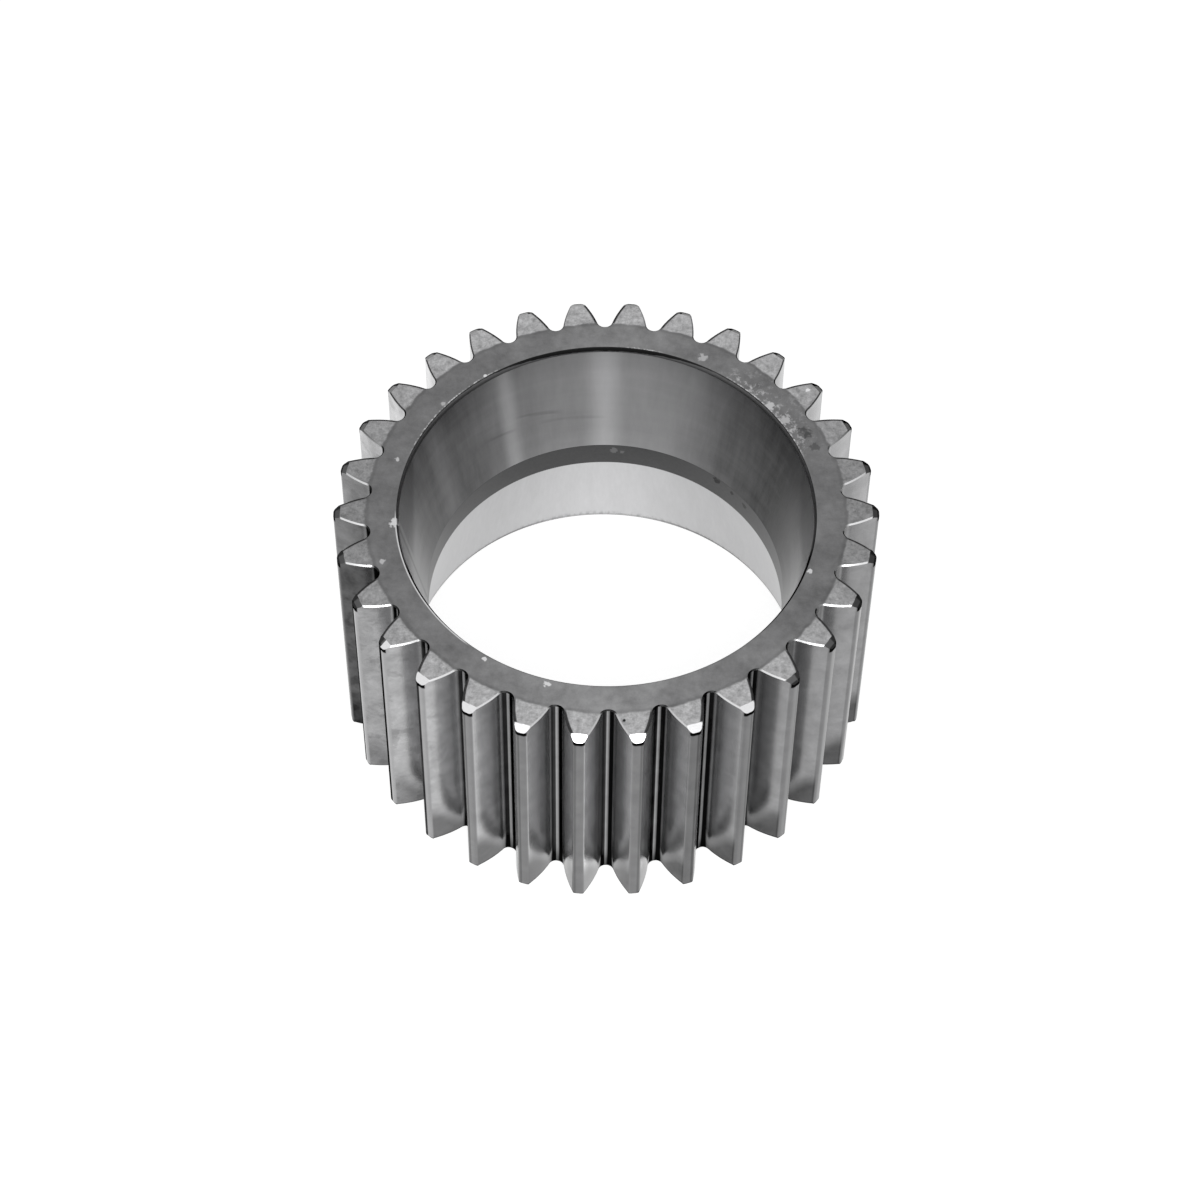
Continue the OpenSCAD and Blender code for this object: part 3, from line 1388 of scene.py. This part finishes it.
    def _bore(self, bm: bmesh.types.BMesh) -> None:
        """Revolves the bore's profile: lead-in, raceway, land, raceway and lead-in.

        Args:
            bm: The bmesh that takes the bore.
        """
        low = (self.face_w - self.land_w) / 2
        mouth = self.raceway_r + self.lead_r
        profile = [
            (self.lip_r, self.face_w),
            (mouth, self.face_w),
            (self.raceway_r, self.face_w - self.lead_h),
            (self.land_r, self.face_w - low),
            (self.land_r, low),
            (self.raceway_r, self.lead_h),
            (mouth, 0.0),
            (self.lip_r, 0.0),
        ]
        start = self.tooth.step / 2
        verts = [bm.verts.new((r * math.cos(start), r * math.sin(start), z)) for r, z in profile]
        for pair in zip(verts, verts[1:]):
            bm.edges.new(pair)
        bmesh.ops.bevel(
            bm, geom=verts[1:-1], offset=self.bore_round, offset_type="OFFSET",
            segments=self.bore_round_steps, profile=0.5, affect="VERTICES", clamp_overlap=False,
            material=-1
        )
        wire = [v for v in bm.verts if not v.link_faces] + [e for e in bm.edges if not e.link_faces]
        steps = self.arc_steps * self.tooth.teeth
        bmesh.ops.spin(
            bm, geom=wire, cent=(0, 0, 0), axis=UP, angle=2 * math.pi, steps=steps, use_merge=True
        )

    def _set_surfaces(self, bm: bmesh.types.BMesh) -> None:
        """Gives every face the slot of its machined surface.

        Args:
            bm: The welded bmesh.
        """
        low = (self.face_w - self.land_w) / 2
        for face in bm.faces:
            place = face.calc_center_median()
            tilt = abs(face.normal.z)
            if place.xy.length < self.lip_r and tilt < self.level_tilt:
                if low - self.land_margin < place.z < self.face_w - low + self.land_margin:
                    face.material_index = Surface.LAND
                elif self.lead_h < place.z < self.face_w - self.lead_h:
                    face.material_index = Surface.RACEWAY
                else:
                    face.material_index = Surface.LEAD_IN
            elif tilt > self.level_tilt:
                face.material_index = Surface.END_FACE
            elif tilt < self.flank_tilt:
                face.material_index = Surface.FLANK
            else:
                face.material_index = Surface.CHAMFER

    def dress(self, gear: bpy.types.Object) -> None:
        """Gives the gear its materials, in the order of its surfaces.

        Args:
            gear: The gear's object.
        """
        top = self.face_w
        edge_r = self.raceway_r + self.lead_r
        # Painted reflection and painted shade bands on the upper raceway, by azimuth.
        wall_bands = (
            Band(90.0, 8.0, 0.17),
            Band(98.0, 38.0, 0.12),
            Band(120.5, 4.5, 0.14),
            Band(139.0, 16.0, -0.06),
            Band(148.5, 6.0, 0.04),
            Band(72.0, 24.0, 0.11),
            Band(15.0, 55.0, -0.15),
            Band(163.0, 30.0, -0.11),
            Band(-160.0, 24.0, -0.09),
            Band(-175.0, 1.6, -0.10),
            Band(-95.0, 14.0, 0.12),
            Band(-55.0, 18.0, 0.06),
        )
        # Painted shade zones on the upper raceway.
        wall_shade_zones = (
            PaintedShadeZone(-1.0, 40.1, -1.5, 15.0, 0.36),
            PaintedShadeZone(1.0, 40.6, -12.0, 12.0, 0.5),
        )
        wall_scars = (
            Scar(111.0, 6.0, 44.6, 0.13),
            Scar(124.0, 4.0, 43.0, 0.10),
            Scar(100.0, 9.0, 41.5, 0.05, 0.9),
        )
        end_marks = (
            Mark(125.6, 43.4, top, 0.5, 0.8),
            Mark(-123.9, 43.9, top, 0.6, 0.8),
            Mark(-105.9, 44.1, top, 0.8, 0.8),
            Mark(-20.3, 43.8, top, 0.6, 0.7),
            Mark(162.8, 45.1, top, 0.6, 0.6),
            Mark(-164.5, 47.1, top, 0.7, 0.55),
            Mark(140.8, 43.9, top, 0.6, 0.5),
            Mark(62.7, 45.1, top, 1.1, 0.5),
            Mark(38.3, 43.9, top, 1.1, 0.6),
            Mark(32.1, 44.2, top, 1.3, 0.5),
            Mark(25.5, 44.8, top, 0.9, 0.45),
            Mark(-176.2, 43.4, top, 1.2, 0.75),
            Mark(36.4, 52.9, top, 0.6, 0.9),
            Mark(25.9, 45.9, top, 1.7, 0.06, 0.7),
            Mark(20.7, 46.4, top, 1.2, 0.07, 0.6),
            Mark(-86.5, 51.1, top, 0.35, 0.03),
        )
        # Painted shade on the near sides of the teeth.
        flank_shade_stretches = (
            Stretch(177.0, 9.5, 0.5, 1.5),
            Stretch(195.6, 3.3, 0.25, 0.8),
        )
        land_marks = (
            Mark(86.7, 37.5, 31.2, 0.9, 0.15),
            Mark(84.0, 37.5, 30.8, 0.6, 0.14),
            Mark(49.5, 37.5, 32.0, 1.0, 0.02),
            Mark(43.0, 37.5, 31.6, 0.7, 0.025),
            Mark(36.5, 37.5, 31.2, 0.8, 0.025),
        )
        tooth = self.tooth
        # Lower edge of the painted shade line below the tip chamfer.
        shade_line_low = top - self.tip_chamfer_h - self.shade_line_w
        finishes = {
            Surface.END_FACE: EndFaceFinish(tooth, tooth.root_r + self.ring_step, end_marks),
            Surface.FLANK: FlankFinish(tooth, shade_line_low, flank_shade_stretches),
            Surface.CHAMFER: ChamferFinish(tooth, tooth.tip_r - self.tip_chamfer_r),
            Surface.RACEWAY: RacewayFinish(self.face_w / 2, wall_bands, wall_shade_zones, wall_scars),
            Surface.LAND: LandFinish(land_marks),
            Surface.LEAD_IN: LeadInFinish(top, Mark(-176.2, edge_r, top, 1.0, 0.9)),
        }
        for surface in Surface:
            gear.data.materials.append(finishes[surface].material())


@dataclass(frozen=True)
class Studio:
    """White floor and sky, one soft lamp in front, and grey cards that only the steel reflects.

    Lengths in metres, and the lamp's power in watts.
    """

    floor_side: float = 3.0
    floor_tone: float = 0.6
    floor_glow: float = 0.85
    sky_light: float = 0.3
    card_r: float = 1.0
    card_h: float = 0.5
    card_count: int = 48
    card_glow: float = 0.5
    lamp_place: Triple = (0.0, -0.62, 0.78)
    lamp_side: float = 0.5
    lamp_power: float = 3.0
    gear_middle: Triple = (0.0, 0.0, 0.03)

    def build(self) -> None:
        """Makes the floor, the cards, the sky and the lamp."""
        self._floor()
        self._cards()
        self._sky()
        self._lamp()

    @staticmethod
    def _seen(g: Graph) -> Socket:
        """Makes a switch for rays that see the background, straight, mirrored or through glass.

        Args:
            g: The graph that takes it.

        Returns:
            A socket that is 1 for such rays and otherwise 0.
        """
        path = g.add("LightPath")
        total = path.outputs["Is Camera Ray"]
        for name in ("Is Glossy Ray", "Is Transmission Ray"):
            total = g.larger(total, path.outputs[name])
        return total

    @staticmethod
    def _stage(name: str, bm: bmesh.types.BMesh, material: bpy.types.Material) -> bpy.types.Object:
        """Turns a bmesh into an object of the studio.

        Args:
            name: Name of the object.
            bm: Its mesh, which is freed.
            material: Its material.

        Returns:
            The object.
        """
        mesh = bpy.data.meshes.new(name)
        bm.to_mesh(mesh)
        bm.free()
        mesh.materials.append(material)
        thing = bpy.data.objects.new(name, mesh)
        bpy.context.scene.collection.objects.link(thing)
        return thing

    def _floor(self) -> None:
        """Lays the floor, which is white where it is lit and keeps the gear's soft shadow."""
        g = Graph(bpy.data.materials.new("floor_paper"))
        diffuse = g.add("BsdfDiffuse", (self.floor_tone, self.floor_tone, self.floor_tone, 1.0))
        glow = g.add("Emission")
        g.link(g.times(self._seen(g), self.floor_glow), glow.inputs["Strength"])
        g.finish(g.add("AddShader", diffuse.outputs[0], glow.outputs[0]))
        bm = bmesh.new()
        bmesh.ops.create_grid(bm, x_segments=1, y_segments=1, size=self.floor_side / 2)
        self._stage("floor", bm, g.owner)

    def _cards(self) -> None:
        """Stands a ring of cards round the gear, out of the camera's sight."""
        g = Graph(bpy.data.materials.new("dark_card"))
        glow = g.add("Emission")
        glow.inputs["Strength"].default_value = self.card_glow
        g.finish(glow)
        bm = bmesh.new()
        ring = bmesh.ops.create_circle(bm, cap_ends=False, radius=self.card_r, segments=self.card_count)
        edges = list({e for v in ring["verts"] for e in v.link_edges})
        raised = bmesh.ops.extrude_edge_only(bm, edges=edges)
        top = [v for v in raised["geom"] if isinstance(v, bmesh.types.BMVert)]
        bmesh.ops.translate(bm, verts=top, vec=(0.0, 0.0, self.card_h))
        cards = self._stage("dark_cards", bm, g.owner)
        cards.visible_camera = False
        cards.visible_diffuse = False
        cards.visible_shadow = False

    def _sky(self) -> None:
        """Makes the sky: white where it is seen, and a weaker even light on the floor."""
        world = bpy.data.worlds.new("sky")
        bpy.context.scene.world = world
        g = Graph(world, "OutputWorld")
        background = g.add("Background")
        g.link(g.blend(self._seen(g), self.sky_light, 1.0), background.inputs["Strength"])
        g.finish(background)

    def _lamp(self) -> None:
        """Hangs a square lamp in front that points at the middle of the gear."""
        data = bpy.data.lights.new("front_lamp", "AREA")
        data.size = self.lamp_side
        data.energy = self.lamp_power
        lamp = bpy.data.objects.new("front_lamp", data)
        lamp.location = self.lamp_place
        aim = Vector(self.gear_middle) - Vector(self.lamp_place)
        lamp.rotation_euler = aim.to_track_quat("-Z", "Y").to_euler()
        bpy.context.scene.collection.objects.link(lamp)


@dataclass(frozen=True)
class PhotoCamera:
    """The photograph's viewpoint, fitted to the gear's rings and teeth. Lengths in millimetres."""

    elevation_deg: float = 55.184
    turn_deg: float = -0.962
    roll_deg: float = 0.735
    distance: float = 764.12
    right: float = -0.899
    up: float = 15.983
    lens: float = 104.708
    sensor: float = 36.0
    nearest: float = 50.0

    def build(self) -> None:
        """Makes the camera and puts it to use."""
        elevation = math.radians(self.elevation_deg)
        roll = math.radians(self.roll_deg)
        back = Vector((0.0, -math.cos(elevation), math.sin(elevation)))
        side = Vector((1.0, 0.0, 0.0))
        top = back.cross(side)
        x_axis = math.cos(roll) * side + math.sin(roll) * top
        y_axis = -math.sin(roll) * side + math.cos(roll) * top
        place = (back * self.distance + x_axis * self.right + y_axis * self.up) * MM
        axes = Matrix((x_axis, y_axis, back)).transposed().to_4x4()
        data = bpy.data.cameras.new("photo_camera")
        data.sensor_width = self.sensor
        data.lens = self.lens
        data.clip_start = self.nearest * MM
        camera = bpy.data.objects.new("photo_camera", data)
        turn = Matrix.Rotation(math.radians(self.turn_deg), 4, "Z")
        camera.matrix_world = turn @ Matrix.Translation(place) @ axes
        bpy.context.scene.collection.objects.link(camera)
        bpy.context.scene.camera = camera


def main() -> None:
    """Builds the gear, the studio and the camera, in order."""
    logging.basicConfig(level=logging.INFO, format="%(name)s: %(message)s")
    bpy.context.scene.view_settings.view_transform = "Standard"
    gear_form = PlanetGear()
    gear = gear_form.build()
    gear_form.dress(gear)
    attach(gear, "root")
    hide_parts("planet_gear")
    Studio().build()
    PhotoCamera().build()
    log.info("scene is ready")


if __name__ == "__main__":
    main()
